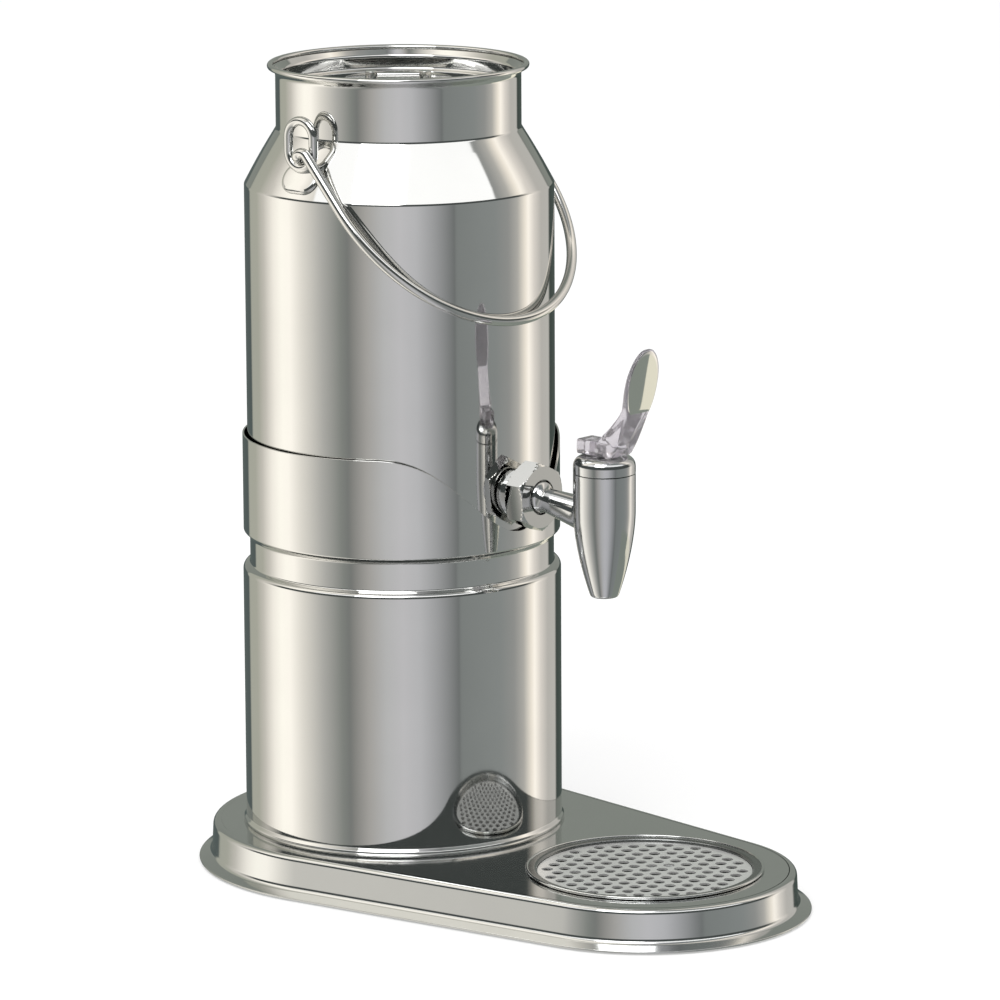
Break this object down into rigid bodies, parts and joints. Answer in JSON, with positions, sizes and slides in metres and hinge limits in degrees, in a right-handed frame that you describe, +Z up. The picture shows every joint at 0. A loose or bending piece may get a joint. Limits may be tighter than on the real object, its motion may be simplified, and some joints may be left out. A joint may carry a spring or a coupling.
{
  "type": "milk dispenser",
  "caption": "Stainless milk can with swing handle and ice tube in a collared stand, lever tap over a perforated drip tray",
  "frame": {"origin": "point on the table under the axis of the stand and the milk can", "axes": "+Z up along the can's axis, -Y towards the tap and the drip tray, +X to the right seen from behind the tap"},
  "size_m": [0.2232, 0.3694, 0.4341],
  "materials": {
    "polished_steel": "polished stainless sheet",
    "satin_steel": "satin stainless",
    "mirror_steel": "mirror polished",
    "zinc_steel": "plain steel",
    "black_rubber": "matt",
    "silicone": "satin translucent white",
    "clear_plastic": "clear polished"
  },
  "bodies": {
    "stand": {"base_plate": "satin_steel", "rubber_feet": "black_rubber", "stand_tube": "polished_steel", "foot_ring": "satin_steel", "stand_screws": "zinc_steel"},
    "dish": {"drip_dish": "satin_steel"},
    "grid": {"drip_grid": "satin_steel"},
    "can": {"milk_can": "polished_steel", "can_bottom": "polished_steel", "ear_left": "polished_steel", "ear_right": "polished_steel", "outlet_boss": "satin_steel", "tap_gasket": "silicone", "union_nut": "polished_steel", "tap_body": "satin_steel", "tap_bonnet": "satin_steel", "stem_seal": "silicone", "tap_spring": "zinc_steel"},
    "bail": {"bail_handle": "polished_steel"},
    "lid": {"lid": "polished_steel"},
    "ice_tube": {"ice_tube": "satin_steel"},
    "ice_cap": {"ice_cap": "polished_steel", "ice_cap_seal": "silicone", "cap_handle": "polished_steel"},
    "plunger": {"plunger": "satin_steel", "seat_cup": "silicone", "lever_pin": "satin_steel"},
    "lever": {"lever": "clear_plastic", "lever_insert": "mirror_steel"}
  },
  "joints": [
    {"name": "dish_lift", "type": "slide", "parent": "stand", "child": "dish", "axis": [0, 0, 1], "range_m": [0, 0.05]},
    {"name": "grid_lift", "type": "slide", "parent": "dish", "child": "grid", "axis": [0, 0, 1], "range_m": [0, 0.05]},
    {"name": "can_lift", "type": "slide", "parent": "stand", "child": "can", "axis": [0, 0, 1], "range_m": [0, 0.12]},
    {"name": "bail_swing", "type": "hinge", "parent": "can", "child": "bail", "pos_m": [0, 0, 0.39128], "axis": [-1, 0, 0], "range_deg": [0, 240]},
    {"name": "lid_lift", "type": "slide", "parent": "can", "child": "lid", "axis": [0, 0, 1], "range_m": [0, 0.24]},
    {"name": "ice_tube_lift", "type": "slide", "parent": "lid", "child": "ice_tube", "axis": [0, 0, 1], "range_m": [0, 0.215]},
    {"name": "ice_cap_lift", "type": "slide", "parent": "ice_tube", "child": "ice_cap", "axis": [0, 0, 1], "range_m": [0, 0.03]},
    {"name": "plunger_lift", "type": "slide", "parent": "can", "child": "plunger", "axis": [0, 0, 1], "range_m": [0, 0.005], "stiffness_N_per_m": 500, "springref_m": -0.008, "deforming": ["tap_spring"]},
    {"name": "lever_tilt", "type": "hinge", "parent": "plunger", "child": "lever", "pos_m": [0, -0.1425, 0.2433], "axis": [1, 0, 0], "range_deg": [0, 30]}
  ],
  "couplings": [
    {"joint": "lever_tilt", "follows": "plunger_lift", "rad_per_m": 104.7}
  ]
}
